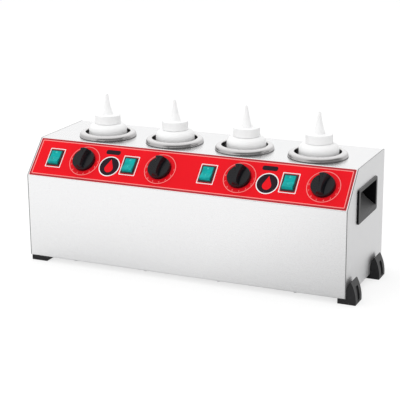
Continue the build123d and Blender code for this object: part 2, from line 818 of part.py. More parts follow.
# ---------------------------------------------------------------- feet
def foot_bores(part, x, y):
    """Screw bores with sunk heads, up through a foot."""
    under = -2 * foot_height
    for dy in foot_screw_offsets:
        part -= upright(x, y + dy, under, foot_height, foot_screw_radius + screw_clearance)
        part -= upright(x, y + dy, under, -foot_screw_sink, foot_screw_head_radius + 2 * screw_clearance)
    return part


def make_right_foot(y):
    """Foot under the right cheek, with a fin that stands up outside it."""
    inner = foot_reach - foot_width
    tip = (foot_fin_lean, foot_fin_height)
    crest = (foot_fin_lean - foot_fin_crest, foot_fin_height - foot_fin_crest_drop)
    waist = (foot_reach - foot_hollow, foot_fin_height / 2 - foot_skirt)
    profile = outline(
        Line((inner, 0), (inner, -foot_height)),
        Line((inner, -foot_height), (foot_reach, -foot_height)),
        Line((foot_reach, -foot_height), (foot_reach, -foot_skirt)),
        ThreePointArc((foot_reach, -foot_skirt), waist, tip),
        Line(tip, crest),
        TangentArc((0, foot_contact), crest, tangent=(0, 1)),
        Line((0, foot_contact), (0, 0)),
        Line((0, 0), (inner, 0)),
    )
    foot = along_y(Pos(body_end, 0) * profile, y, y + foot_depth)
    deep = foot_reach - foot_pocket_depth
    clear = foot_reach + foot_pocket_depth
    low = (deep, foot_pocket_low)
    high = (deep - foot_pocket_lean, foot_pocket_high)
    bow = (deep - foot_pocket_lean / 2 + foot_pocket_bow, (foot_pocket_low + foot_pocket_high) / 2)
    pocket = outline(
        Line(low, (clear, foot_pocket_low)),
        Line((clear, foot_pocket_low), (clear, foot_pocket_high)),
        Line((clear, foot_pocket_high), high),
        ThreePointArc(high, bow, low),
    )
    middle = y + foot_depth / 2
    half = foot_pocket_width / 2
    foot -= along_y(Pos(body_end, 0) * pocket, middle - half, middle + half)
    foot = fillet(foot.faces().sort_by(Axis.Z)[0].edges(), foot_corner)
    return foot_bores(foot, foot_screw_x, y)


def make_left_foot(y):
    """Plain foot block, wholly under the casing's left end."""
    low = left_foot_inset - body_end
    foot = block((low, y, -foot_height), (low + foot_width, y + foot_depth, 0))
    foot = fillet(foot.edges().filter_by(Axis.Z), foot_corner)
    foot = fillet(foot.faces().sort_by(Axis.Z)[0].edges(), foot_corner)
    return foot_bores(foot, -foot_screw_x, y)


# ---------------------------------------------------------------- fasteners and inlet
def slotted(head, radius, level):
    """Cut a driver slot into a head whose outer face is at level, looking along -z."""
    return head - Pos(0, 0, level) * Box(2 * radius + 1, slot_width, 2 * slot_depth)


def make_foot_screw(x, y):
    """Screw from inside the foot's bore up through the sheets, with its nut."""
    head_low = -foot_screw_sink - foot_screw_head
    shank = foot_screw_sink + 2 * sheet + foot_nut_thickness + foot_screw_over_nut
    screw = Pos(0, 0, head_low) * Cylinder(foot_screw_head_radius, foot_screw_head, align=(MID, MID, LOW))
    screw = slotted(screw, foot_screw_head_radius, head_low)
    screw += Pos(0, 0, -foot_screw_sink) * Cylinder(foot_screw_radius, shank, align=(MID, MID, LOW))
    screw += Pos(0, 0, 2 * sheet) * hexagon(foot_nut_flats, foot_nut_thickness)
    return Pos(x, y, 0) * screw


def make_case_screw():
    """Pan-head screw seated on z = 0, head above it and shank below."""
    head = Cylinder(case_screw_head_radius, case_screw_head, align=(MID, MID, LOW))
    head = fillet(head.edges().sort_by(Axis.Z)[-1], case_screw_round)
    head = slotted(head, case_screw_head_radius, case_screw_head)
    return head + Cylinder(case_screw_radius, case_screw_length, align=(MID, MID, HIGH))


def make_base_screws():
    """Screws up through the flanges into the base plate."""
    return [Pos(x, y, 0) * Rot(180, 0, 0) * make_case_screw() for x, y in base_screw_points]


def make_rear_screws():
    """Screws through the rear panel into the flanges."""
    return [Pos(x, body_depth, z) * Rot(-90, 0, 0) * make_case_screw() for x, z in rear_screw_points]


def make_gland():
    """Cable gland in the rear panel: thread, hexagon and rounded dome, bored through."""
    seat = body_depth
    gland = lying(gland_x, gland_level, seat - gland_inside, seat, gland_thread_radius)
    hexagonal = Pos(gland_x, seat, gland_level) * Rot(-90, 0, 0) * hexagon(gland_hex_flats, gland_hex)
    dome = Cylinder(gland_hex_flats / 2 - gland_dome_inset, gland_dome, align=(MID, MID, LOW))
    dome = fillet(dome.edges().sort_by(Axis.Z)[-1], gland_dome_round)
    gland += hexagonal + Pos(gland_x, seat + gland_hex, gland_level) * Rot(-90, 0, 0) * dome
    return gland - lying(
        gland_x, gland_level, seat - gland_inside - 1, seat + gland_hex + gland_dome + 1, gland_bore_radius
    )


def make_gland_nut():
    """Lock nut of the gland, inside the rear panel."""
    nut = hexagon(gland_hex_flats, gland_nut_thickness)
    nut -= Cylinder(gland_thread_radius + thread_fit, 3 * gland_nut_thickness)
    return Pos(gland_x, inner_rear, gland_level) * Rot(90, 0, 0) * nut


def terminal_row_y():
    """Middle of the terminal block and earth stud, between the heaters and the rear."""
    return inner_rear - sheet - block_gap - block_depth / 2


def make_terminal_block():
    """Screw terminal block on the base plate, its wire holes along y."""
    y = terminal_row_y()
    floor = 2 * sheet
    body = Pos(block_x, y, floor) * Box(block_length, block_depth, block_height, align=(MID, MID, LOW))
    body = fillet(body.edges().filter_by(Axis.Z), block_corner)
    pole_pitch = block_length / block_poles
    for i in range(block_poles):
        x = block_x + (i - (block_poles - 1) / 2) * pole_pitch
        body -= lying(x, floor + block_wire_level, y - block_depth, y + block_depth, block_wire_radius)
        low = floor + block_height - block_screw_depth
        high = floor + 2 * block_height
        for side in (-1, 1):
            body -= upright(x, y + side * block_depth / 4, low, high, block_screw_radius)
    return body


def make_earth_stud():
    """Protective earth stud with its nut, on the base plate."""
    y = terminal_row_y()
    top = 2 * sheet + earth_stud_length
    stud = upright(earth_stud_x, y, sheet, top, earth_stud_radius)
    return stud + Pos(earth_stud_x, y, 2 * sheet) * hexagon(earth_nut_flats, earth_nut_thickness)


def loom_row_y():
    """Middle of the wire bundle, straight below the switches."""
    return slope_point(control_height - switch_height / 2, -(switch_depth + switch_well_depth) / 2)[0]


def riser_top(case_height):
    """Level just inside the lower wall of a control of that height on the slope."""
    along = control_height - case_height / 2
    out = (loom_row_y() - slope_up.Y * along) / slope_out.Y
    return slope_point(along, out)[1] + riser_sink


def make_wiring_loom():
    """Wire bundle along the base plate, with a riser to each switch and thermostat."""
    centre_z = 2 * sheet + loom_radius
    run_y = loom_row_y()
    block_front = terminal_row_y() - block_depth / 2
    risers = [(x, riser_top(switch_height), make_switch_body(x)) for x in switch_xs]
    tap = thermostat_size / 4
    risers += [(x + tap, riser_top(thermostat_size), make_thermostat(x)) for x in knob_xs]
    low_x = switch_xs[0] - riser_radius
    high_x = knob_xs[-1] + tap + riser_radius
    row = Rot(0, 90, 0) * Cylinder(loom_radius, high_x - low_x, align=(MID, MID, LOW))
    loom = Pos(low_x, run_y, centre_z) * row
    loom += lying(block_x, centre_z, run_y, block_front, loom_radius)
    for x, top_z, control in risers:
        loom += upright(x, run_y, centre_z, top_z, riser_radius) - control
    return loom


# ---------------------------------------------------------------- assembly
def build_nodes():
    """The solids of every sub-part by its node name, in the casing's frame."""
    right_cheek = make_right_cheek()
    right_handle = make_right_handle()
    nodes = {
        "front_top_shell": [make_front_top_shell()],
        "rear_panel": [make_rear_panel()],
        "right_side_panel": [right_cheek],
        "left_side_panel": [mirror(right_cheek, about=Plane.YZ)],
        "base_plate": [make_base_plate()],
        "control_overlay": [make_control_overlay()],
        "right_handle": [right_handle],
        "left_handle": [mirror(right_handle, about=Plane.YZ)],
        "terminal_block": [make_terminal_block()],
        "cable_gland": [make_gland()],
        "gland_nut": [make_gland_nut()],
        "earth_stud": [make_earth_stud()],
        "wiring_loom": [make_wiring_loom()],
        "base_screws": make_base_screws(),
        "rear_screws": make_rear_screws(),
        "foot_screws": [make_foot_screw(x, y) for x, y in foot_screw_points],
        "heater_screws": [screw for x in well_xs for screw in make_heater_screws(x)],
        "bushing_nuts": [make_bushing_nut(x) for x in knob_xs],
        "well_gaskets": [make_gasket(x) for x in well_xs],
        "thermostat_bulbs": [make_bulb(well, knob) for well, knob in zip(well_xs, knob_xs)],
    }
    for place, y in foot_ys.items():
        nodes[f"foot_{place}_right"] = [make_right_foot(y)]
        nodes[f"foot_{place}_left"] = [make_left_foot(y)]
    for i in range(well_count):
        nodes[f"well_{i + 1}"] = [make_well(well_xs[i])]
        nodes[f"heater_band_{i + 1}"] = [make_heater_band(well_xs[i])]
        nodes[f"bottle_{i + 1}"] = [make_bottle(well_xs[i] + bottle_offsets[i])]
        nodes[f"bottle_cap_{i + 1}"] = [make_cap(well_xs[i] + bottle_offsets[i])]
        nodes[f"thermostat_{i + 1}"] = [make_thermostat(knob_xs[i])]
        nodes[f"thermostat_shaft_{i + 1}"] = [make_shaft(knob_xs[i])]
        nodes[f"knob_{i + 1}"] = [make_knob(knob_xs[i])]
        nodes[f"switch_body_{i + 1}"] = [make_switch_body(switch_xs[i])]
        nodes[f"rocker_{i + 1}"] = [make_rocker(switch_xs[i])]
    return nodes


def write_parts():
    """Shift the casing's frame to the middle of the footprint, on the counter, and export."""
    os.makedirs("parts", exist_ok=True)
    shift_x = (handle_lip - foot_reach) / 2
    shift_y = -(body_depth + gland_hex + gland_dome) / 2
    place = Location((shift_x, shift_y, foot_height))
    for name, solids in build_nodes().items():
        placed = [solid.moved(place) for solid in solids]
        export_step(placed[0] if len(placed) == 1 else Compound(children=placed), f"parts/{name}.step")


write_parts()
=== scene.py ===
"""Looks of the topping warmer: its sub-parts' finishes, the panel's print, the studio and the camera."""
import json
import math

import bmesh
import bpy
from mathutils import Euler, Matrix, Vector


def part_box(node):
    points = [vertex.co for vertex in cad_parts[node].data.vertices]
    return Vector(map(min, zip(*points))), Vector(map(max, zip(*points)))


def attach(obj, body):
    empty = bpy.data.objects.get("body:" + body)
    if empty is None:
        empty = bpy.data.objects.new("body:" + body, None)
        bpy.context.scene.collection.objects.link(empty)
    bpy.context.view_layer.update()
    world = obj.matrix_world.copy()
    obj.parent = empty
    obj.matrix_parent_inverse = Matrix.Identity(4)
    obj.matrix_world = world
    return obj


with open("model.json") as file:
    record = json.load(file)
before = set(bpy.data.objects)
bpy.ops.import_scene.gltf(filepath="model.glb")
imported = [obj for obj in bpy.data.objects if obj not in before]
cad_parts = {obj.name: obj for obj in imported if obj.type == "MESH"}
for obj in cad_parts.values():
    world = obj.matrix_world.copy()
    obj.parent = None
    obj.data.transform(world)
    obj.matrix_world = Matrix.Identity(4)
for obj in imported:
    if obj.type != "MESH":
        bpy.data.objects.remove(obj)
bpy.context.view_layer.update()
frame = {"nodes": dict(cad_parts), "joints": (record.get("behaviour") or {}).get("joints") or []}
MM = 0.001
nodes = frame["nodes"]
joints = {joint["name"]: joint for joint in frame["joints"]}
UNITS = range(1, 5)

# ---------------------------------------------------------------- the sloped panel, from the frame
X_AXIS = Vector((1, 0, 0))
panel_out = -Vector(joints["dial_1_turn"]["axis"]).normalized()
panel_up = panel_out.cross(X_AXIS)
panel_turn = Matrix((X_AXIS, panel_up, panel_out)).transposed()
film_low, film_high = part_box("control_overlay")
film_face = 0.4 * MM
sheet_point = Vector(joints["dial_1_turn"]["pos_m"])
control_level = (sheet_point - Vector((0, film_low.y, film_low.z))).dot(panel_up)
film_height = (film_high - film_low).dot(panel_up)
panel_centre_x = (film_low.x + film_high.x) / 2
dial_xs = [joints[f"dial_{i}_turn"]["pos_m"][0] for i in UNITS]
switch_xs = [joints[f"switch_{i}_tip"]["pos_m"][0] for i in UNITS]


def panel_place(x, along, out):
    """Matrix that puts a flat drawing at x, along the film from its lower edge, and out of the sheet."""
    foot = Vector((x, sheet_point.y, sheet_point.z))
    origin = foot + panel_up * (along - control_level) + panel_out * out
    return Matrix.Translation(origin) @ panel_turn.to_4x4()


# ---------------------------------------------------------------- node helpers
def new_material(name):
    """A node material, its node tree and its Principled shader."""
    material = bpy.data.materials.new(name)
    material.use_nodes = True
    tree = material.node_tree
    return material, tree, tree.nodes["Principled BSDF"]


def add_node(tree, kind, **values):
    """A node with its properties, or its named inputs, set."""
    node = tree.nodes.new(kind)
    for key, value in values.items():
        if key in node.bl_rna.properties:
            setattr(node, key, value)
        else:
            node.inputs[key.replace("_", " ")].default_value = value
    return node


def object_noise(tree, scale, detail=3.0, roughness=0.55, stretch=(1, 1, 1)):
    """Noise value fixed to the object, in metres, stretched along the axes."""
    place = add_node(tree, "ShaderNodeTexCoord")
    mapping = add_node(tree, "ShaderNodeMapping")
    mapping.inputs["Scale"].default_value = stretch
    noise = add_node(tree, "ShaderNodeTexNoise", Scale=scale, Detail=detail, Roughness=roughness)
    tree.links.new(place.outputs["Object"], mapping.inputs["Vector"])
    tree.links.new(mapping.outputs["Vector"], noise.inputs["Vector"])
    return noise.outputs["Fac"]


def ramp(tree, factor, low_colour, high_colour, low=0.35, high=0.65):
    """Colour between two colours as factor goes from low to high."""
    node = add_node(tree, "ShaderNodeValToRGB")
    node.color_ramp.elements[0].position = low
    node.color_ramp.elements[1].position = high
    node.color_ramp.elements[0].color = (*low_colour, 1)
    node.color_ramp.elements[1].color = (*high_colour, 1)
    tree.links.new(factor, node.inputs["Fac"])
    return node.outputs["Color"]


def fade(tree, source, start, end, low, high):
    """Number that goes from low to high as the source goes from start to end."""
    node = add_node(tree, "ShaderNodeMapRange")
    for socket, value in (("From Min", start), ("From Max", end), ("To Min", low), ("To Max", high)):
        node.inputs[socket].default_value = value
    tree.links.new(source, node.inputs["Value"])
    return node.outputs["Result"]


def spread(tree, factor, low, high):
    """Number between low and high as factor goes from 0.3 to 0.7."""
    return fade(tree, factor, 0.3, 0.7, low, high)


def calculate(tree, operation, first, second=0.0):
    """Result of a math node on two numbers, each a value or a socket."""
    node = add_node(tree, "ShaderNodeMath", operation=operation)
    for socket, value in zip(node.inputs, (first, second)):
        if isinstance(value, float):
            socket.default_value = value
        else:
            tree.links.new(value, socket)
    return node.outputs[0]


def face_across(tree, axis, least=0.5):
    """1 on faces that are nearly square to an axis, 0 on the others."""
    geometry = add_node(tree, "ShaderNodeNewGeometry")
    split = add_node(tree, "ShaderNodeSeparateXYZ")
    tree.links.new(geometry.outputs["True Normal"], split.inputs["Vector"])
    return calculate(tree, "GREATER_THAN", calculate(tree, "ABSOLUTE", split.outputs[axis]), least)


def object_split(tree):
    """The object's own coordinates, as three numbers."""
    place = add_node(tree, "ShaderNodeTexCoord")
    split = add_node(tree, "ShaderNodeSeparateXYZ")
    tree.links.new(place.outputs["Object"], split.inputs["Vector"])
    return split.outputs


def bump(tree, shader, height, strength, distance=0.1 * MM):
    """Bump on the shader's normal from a height."""
    node = add_node(tree, "ShaderNodeBump", Strength=strength, Distance=distance)
    tree.links.new(height, node.inputs["Height"])
    tree.links.new(node.outputs["Normal"], shader.inputs["Normal"])


def shaded(colour, factor):
    """The colour made darker or lighter by a factor."""
    return tuple(min(1.0, channel * factor) for channel in colour)


# ---------------------------------------------------------------- materials
CUT_EDGE_FACTOR = 0.30
METAL_SCALE = 40.0
FINE_SCALE = 900.0


def brushed_steel(name, tone, roughness, stretch, edge_axis=None):
    """Satin sheet steel with fine grain; the cut edge of a sheet across edge_axis is dull."""
    material, tree, shader = new_material(name)
    shader.inputs["Metallic"].default_value = 1.0
    grain = object_noise(tree, 140.0, detail=4.0, stretch=stretch)
    colour = ramp(tree, grain, shaded(tone, 0.99), shaded(tone, 1.005))
    if edge_axis is not None:
        mix = add_node(tree, "ShaderNodeMix", data_type="RGBA")
        mix.inputs["A"].default_value = (*shaded(tone, CUT_EDGE_FACTOR), 1)
        tree.links.new(face_across(tree, edge_axis), mix.inputs["Factor"])
        tree.links.new(colour, mix.inputs["B"])
        colour = mix.outputs["Result"]
    tree.links.new(colour, shader.inputs["Base Color"])
    tree.links.new(spread(tree, grain, roughness - 0.02, roughness + 0.02), shader.inputs["Roughness"])
    bump(tree, shader, grain, strength=0.006)
    return material


def plain_metal(name, tone, roughness):
    """Turned or pressed metal with faint mottling."""
    material, tree, shader = new_material(name)
    shader.inputs["Metallic"].default_value = 1.0
    mottle = object_noise(tree, METAL_SCALE)
    tree.links.new(ramp(tree, mottle, shaded(tone, 0.97), shaded(tone, 1.02)), shader.inputs["Base Color"])
    tree.links.new(spread(tree, mottle, roughness - 0.02, roughness + 0.03), shader.inputs["Roughness"])
    return material


def rolled_steel(name, tone, wall_shade_tone, roughness):
    """Deep-drawn steel: bright where it lies flat; where it stands as a wall it carries painted shade, a
    darker base colour.
    """
    material, tree, shader = new_material(name)
    shader.inputs["Metallic"].default_value = 1.0
    geometry = add_node(tree, "ShaderNodeNewGeometry")
    split = add_node(tree, "ShaderNodeSeparateXYZ")
    tree.links.new(geometry.outputs["Normal"], split.inputs["Vector"])
    flatness = calculate(tree, "ABSOLUTE", split.outputs["Z"])
    # Painted shade: the base colour goes from the flat tone down to the darker wall tone as the surface
    # stands up.
    colour = ramp(tree, flatness, wall_shade_tone, tone, low=0.45, high=0.90)
    tree.links.new(colour, shader.inputs["Base Color"])
    mottle = object_noise(tree, METAL_SCALE)
    tree.links.new(spread(tree, mottle, roughness - 0.02, roughness + 0.03), shader.inputs["Roughness"])
    return material


def moulded_plastic(name, tone, roughness, specular=0.5):
    """Moulded plastic with a fine spark-eroded grain and slight colour drift."""
    material, tree, shader = new_material(name)
    shader.inputs["Specular IOR Level"].default_value = specular
    fine = object_noise(tree, FINE_SCALE, detail=2.0)
    drift = object_noise(tree, 25.0)
    tree.links.new(ramp(tree, drift, shaded(tone, 0.9), shaded(tone, 1.1)), shader.inputs["Base Color"])
    tree.links.new(spread(tree, fine, roughness - 0.04, roughness + 0.05), shader.inputs["Roughness"])
    bump(tree, shader, fine, strength=0.08)
    return material


def black_plastic(name, tone, roughness, shade_tone, recess=None):
    """Plastic with a sheen; faces across Y and a recess's end, given by its |x|, are dull, with painted
    shade.
    """
    material, tree, shader = new_material(name)
    fine = object_noise(tree, FINE_SCALE, detail=2.0)
    # Painted shade: faces across Y and a recess's far end take the darker shade tone and lose most of
    # their sheen.
    dull = face_across(tree, "Y")
    if recess is not None:
        depth = fade(tree, calculate(tree, "ABSOLUTE", object_split(tree)["X"]), *recess, 0.0, 1.0)
        end = calculate(tree, "MULTIPLY", face_across(tree, "X", 0.8), depth)
        dull = calculate(tree, "MAXIMUM", dull, end)
    mix = add_node(tree, "ShaderNodeMix", data_type="RGBA")
    mix.inputs["B"].default_value = (*shade_tone, 1)
    tree.links.new(dull, mix.inputs["Factor"])
    tree.links.new(ramp(tree, fine, shaded(tone, 0.9), shaded(tone, 1.1)), mix.inputs["A"])
    tree.links.new(mix.outputs["Result"], shader.inputs["Base Color"])
    tree.links.new(fade(tree, dull, 0.0, 1.0, 0.5, 0.05), shader.inputs["Specular IOR Level"])
    tree.links.new(spread(tree, fine, roughness - 0.04, roughness + 0.05), shader.inputs["Roughness"])
    bump(tree, shader, fine, strength=0.08)
    return material


def printed_film(name, tone, roughness=0.32):
    """Polyester overlay film or the ink on it: even colour with a faint orange-peel surface."""
    material, tree, shader = new_material(name)
    peel = object_noise(tree, 450.0, detail=1.0)
    drift = object_noise(tree, 8.0)
    tree.links.new(ramp(tree, drift, shaded(tone, 0.97), shaded(tone, 1.03)), shader.inputs["Base Color"])
    tree.links.new(spread(tree, peel, roughness - 0.02, roughness + 0.03), shader.inputs["Roughness"])
    shader.inputs["Specular IOR Level"].default_value = 0.07
    bump(tree, shader, peel, strength=0.03)
    return material


def squeeze_plastic(name, tone, scatter):
    """Milky translucent polyethylene."""
    material, tree, shader = new_material(name)
    cloud = object_noise(tree, 18.0)
    skin = object_noise(tree, 300.0, detail=2.0)
    tree.links.new(ramp(tree, cloud, shaded(tone, 0.985), tone), shader.inputs["Base Color"])
    tree.links.new(spread(tree, skin, 0.36, 0.44), shader.inputs["Roughness"])
    shader.inputs["Subsurface Weight"].default_value = scatter
    shader.inputs["Subsurface Radius"].default_value = (1.0, 1.0, 1.0)
    shader.inputs["Subsurface Scale"].default_value = 0.004
    shader.inputs["IOR"].default_value = 1.5
    bump(tree, shader, skin, strength=0.05, distance=0.2 * MM)
    return material


def lit_plastic(name, tone, glow):
    """Tinted clear plastic of a lighted rocker: deep colour, gloss and a little inner glow."""
    material, tree, shader = new_material(name)
    depth = object_noise(tree, 120.0)
    colour = ramp(tree, depth, shaded(tone, 0.85), shaded(tone, 1.15))
    tree.links.new(colour, shader.inputs["Base Color"])
    tree.links.new(colour, shader.inputs["Emission Color"])
    shader.inputs["Emission Strength"].default_value = glow
    shader.inputs["Roughness"].default_value = 0.3
    shader.inputs["Specular IOR Level"].default_value = 0.12
    return material


STEEL = (0.90, 0.90, 0.905)
# Painted light: the cheeks' steel is a touch lighter than the casing's, to brighten the sides.
LIT_CHEEK_STEEL = (0.93, 0.93, 0.935)
FILM_RED = (0.82, 0.008, 0.016)
INK_PINK = (0.95, 0.27, 0.26)

MOULDING = (0.085, 0.085, 0.086)
# Painted shade for the far end of the handle's recess.
RECESS_SHADE = (0.006, 0.006, 0.007)
handle_recess = (300 * MM, 290 * MM)
grain_along_x = (1.0, 22.0, 22.0)
grain_along_z = (22.0, 22.0, 1.0)
finishes = {
    "casing": brushed_steel("casing_steel", STEEL, 0.26, grain_along_x),
    "cheek": brushed_steel("cheek_steel", LIT_CHEEK_STEEL, 0.52, grain_along_z, edge_axis="X"),
    # The well's second tone is painted shade on its walls.
    "well": rolled_steel("well_steel", (0.80, 0.79, 0.79), (0.46, 0.45, 0.45), 0.19),
    "film": printed_film("overlay_film", FILM_RED),
    "knob": moulded_plastic("knob_plastic", (0.004, 0.004, 0.006), 0.26, specular=0.30),
    # The moulding's and the foot's second tones are painted shade on faces across Y, and in the handle's
    # recess.
    "moulding": black_plastic("black_moulding", MOULDING, 0.42, RECESS_SHADE, handle_recess),
    "foot": black_plastic("foot_plastic", (0.038, 0.038, 0.039), 0.5, (0.030, 0.030, 0.031)),
    "housing": moulded_plastic("switch_housing", (0.012, 0.012, 0.012), 0.3),
    "rocker": lit_plastic("rocker_green", (0.002, 0.34, 0.325), 0.10),
    "bottle": squeeze_plastic("bottle_plastic", (0.975, 0.975, 0.975), 0.12),
    "cap": squeeze_plastic("cap_plastic", (0.98, 0.98, 0.98), 0.12),
    "gasket": moulded_plastic("gasket_rubber", (0.06, 0.06, 0.06), 0.6),
    "fastener": plain_metal("fastener_steel", (0.62, 0.62, 0.63), 0.3),
    "heater": plain_metal("heater_sheath", (0.52, 0.50, 0.47), 0.4),
    "thermostat": plain_metal("thermostat_case", (0.66, 0.66, 0.67), 0.35),
    "copper": plain_metal("copper_bulb", (0.80, 0.45, 0.30), 0.3),
    "terminal": moulded_plastic("terminal_plastic", (0.82, 0.80, 0.74), 0.5),
    "gland": moulded_plastic("gland_plastic", (0.02, 0.02, 0.02), 0.45),
    "brass": plain_metal("brass_stud", (0.80, 0.62, 0.30), 0.3),
    "loom": moulded_plastic("loom_sleeve", (0.03, 0.03, 0.035), 0.5),
}
dressed = {
    "casing": ["front_top_shell", "rear_panel", "base_plate"],
    "cheek": ["left_side_panel", "right_side_panel"],
    "well": [f"well_{i}" for i in UNITS],
    "film": ["control_overlay"],
    "knob": [f"knob_{i}" for i in UNITS],
    "moulding": ["left_handle", "right_handle"],
    "foot": [name for name in nodes if name.startswith("foot_") and name != "foot_screws"],
    "housing": [f"switch_body_{i}" for i in UNITS],
    "rocker": [f"rocker_{i}" for i in UNITS],
    "bottle": [f"bottle_{i}" for i in UNITS],
    "cap": [f"bottle_cap_{i}" for i in UNITS],
    "gasket": ["well_gaskets"],
    "fastener": ["base_screws", "rear_screws", "foot_screws", "heater_screws", "bushing_nuts"]
    + [f"thermostat_shaft_{i}" for i in UNITS],
    "heater": [f"heater_band_{i}" for i in UNITS],
    "thermostat": [f"thermostat_{i}" for i in UNITS],
    "copper": ["thermostat_bulbs"],
    "terminal": ["terminal_block"],
    "gland": ["cable_gland", "gland_nut"],
    "brass": ["earth_stud"],
    "loom": ["wiring_loom"],
}


def paint(piece, material):
    """The piece wears only this material."""
    piece.data.materials.clear()
    piece.data.materials.append(material)


for finish, members in dressed.items():
    for member in members:
        paint(nodes[member], finishes[finish])

# ---------------------------------------------------------------- printed graphics
INK_SINK = 0.05 * MM
INK_RISE = 0.05 * MM
ink = {
    "pink": printed_film("ink_pink", INK_PINK),
    "white": printed_film("ink_white", (0.88, 0.86, 0.86)),
    "black": printed_film("ink_black", (0.022, 0.012, 0.018)),
    # Painted shade, as of the film folding over the panel's edges.
    "fold_shade": printed_film("painted_fold_shade", (0.42, 0.030, 0.036)),
    "red": printed_film("ink_red", FILM_RED),
    "mint": printed_film("ink_mint", (0.10, 0.62, 0.56)),
}


def arc_points(radius, start, end, steps, centre=(0, 0)):
    """Points on an arc; angles in degrees clockwise from the top."""
    turns = [math.radians(start + (end - start) * k / steps) for k in range(steps + 1)]
    return [(centre[0] + radius * math.sin(t), centre[1] + radius * math.cos(t)) for t in turns]


def circle(radius, steps=60):
    """Closed ring of points, clockwise from the top."""
    return arc_points(radius, 0, 360 * (steps - 1) / steps, steps - 1)


def rounded_rectangle(width, height, radius, steps=6):
    """Closed outline with round corners, clockwise from the top right."""
    points = []
    for x_side, y_side, start in ((1, 1, 0), (1, -1, 90), (-1, -1, 180), (-1, 1, 270)):
        centre = (x_side * (width / 2 - radius), y_side * (height / 2 - radius))
        points += arc_points(radius, start, start + 90, steps, centre)
    return points


def mesh_piece(name, place, material, loops):
    """Thin solid between the film and the ink's face, filling the outer loop less the inner ones."""
    mesh = bmesh.new()
    edges = []
    for loop in loops:
        ring = [mesh.verts.new((x, y, -INK_SINK)) for x, y in loop]
        edges += [mesh.edges.new((ring[k - 1], ring[k])) for k in range(len(ring))]
    bmesh.ops.triangle_fill(mesh, edges=edges, use_beauty=True, use_dissolve=False)
    faces = bmesh.ops.extrude_face_region(mesh, geom=mesh.faces[:])
    lifted = [item for item in faces["geom"] if isinstance(item, bmesh.types.BMVert)]
    bmesh.ops.translate(mesh, verts=lifted, vec=(0, 0, INK_SINK + INK_RISE))
    bmesh.ops.recalc_face_normals(mesh, faces=mesh.faces[:])
    data = bpy.data.meshes.new(name)
    mesh.to_mesh(data)
    mesh.free()
    piece = bpy.data.objects.new(name, data)
    bpy.context.scene.collection.objects.link(piece)
    piece.matrix_world = place
    paint(piece, material)
    return piece


def join_pieces(name, parts):
    """One object made of several."""
    with bpy.context.temp_override(active_object=parts[0], selected_editable_objects=parts):
        bpy.ops.object.join()
    parts[0].name = name
    return parts[0]


DIGIT_HEIGHT_SHARE = 0.7


def digits(text, height, place, material):
    """A number in plain type, as a thin solid."""
    curve = bpy.data.curves.new("digits", "FONT")
    curve.body = text
    curve.size = height / DIGIT_HEIGHT_SHARE
    curve.align_x = "CENTER"
    curve.align_y = "CENTER"
    curve.extrude = (INK_SINK + INK_RISE) / 2
    source = bpy.data.objects.new("digits", curve)
    bpy.context.scene.collection.objects.link(source)
    bpy.context.view_layer.update()
    data = bpy.data.meshes.new_from_object(source)
    bpy.data.objects.remove(source)
    piece = bpy.data.objects.new("digits", data)
    bpy.context.scene.collection.objects.link(piece)
    piece.matrix_world = place
    paint(piece, material)
    return piece


border_inset = 3.4 * MM
border_line = 1.6 * MM
border_corner = 2.0 * MM
inner_corner = 1.2 * MM
margin_inset = 0.4 * MM


def make_border():
    """The pale line round the panel, and painted shade on the margin outside it: a darker red where the
    film folds over the edges.
    """
    width = film_high.x - film_low.x
    place = panel_place(panel_centre_x, film_height / 2, film_face)
    inner = [width - 2 * border_inset, film_height - 2 * border_inset]
    loops = [
        rounded_rectangle(inner[0], inner[1], border_corner),
        rounded_rectangle(inner[0] - 2 * border_line, inner[1] - 2 * border_line, inner_corner),
    ]
    line = mesh_piece("print_border", place, ink["pink"], loops)
    outer = rounded_rectangle(width - 2 * margin_inset, film_height - 2 * margin_inset, inner_corner)
    # Painted shade: the margin's darker red stands in for the shade of the film's folds.
    margin = mesh_piece("margin_fold_shade", place, ink["fold_shade"], [outer, loops[0]])
    return [line, margin]


dial_ring_radius = 29.2 * MM
dial_ring_line = 1.2 * MM
dial_first, dial_last = 88.0, 274.0
dial_numbers = range(1, 9)
number_height = 3.4 * MM
number_radius = 25.9 * MM


def make_dial_print(index, x):
    """Ring and numbers round a knob."""
    place = panel_place(x, control_level, film_face)
    ring = [circle(dial_ring_radius), circle(dial_ring_radius - dial_ring_line)]
    parts = [mesh_piece("ring", place, ink["pink"], ring)]
    count = len(dial_numbers)
    for k, number in enumerate(dial_numbers):
        turn = dial_first + (dial_last - dial_first) * k / (count - 1)
        spot = arc_points(number_radius, turn, turn, 1)[0]
        upright = Matrix.Translation((spot[0], spot[1], 0))
        parts.append(digits(str(number), number_height, place @ upright, ink["pink"]))
    return join_pieces(f"print_dial_{index}", parts)


switch_frame = (30.5 * MM, 38.5 * MM)
switch_frame_line = 1.5 * MM


def make_switch_print(index, x):
    """White frame round a switch."""
    place = panel_place(x, control_level, film_face)
    width, height = switch_frame
    loops = [
        rounded_rectangle(width, height, 1.0 * MM),
        rounded_rectangle(width - 2 * switch_frame_line, height - 2 * switch_frame_line, 0.5 * MM),
    ]
    return mesh_piece(f"print_switch_{index}", place, ink["white"], loops)


mark_radius = 1.5 * MM
mark_line = 0.6 * MM
mark_steps = 18
mark_rise = 9.6 * MM
upper_face_out = 3.36 * MM
dash_size = (0.8 * MM, 3.2 * MM)
dash_corner = 0.4 * dash_size[0]
dash_drop = 5.2 * MM
lower_face_out = 5.43 * MM
lower_face_turn = math.radians(20.0)


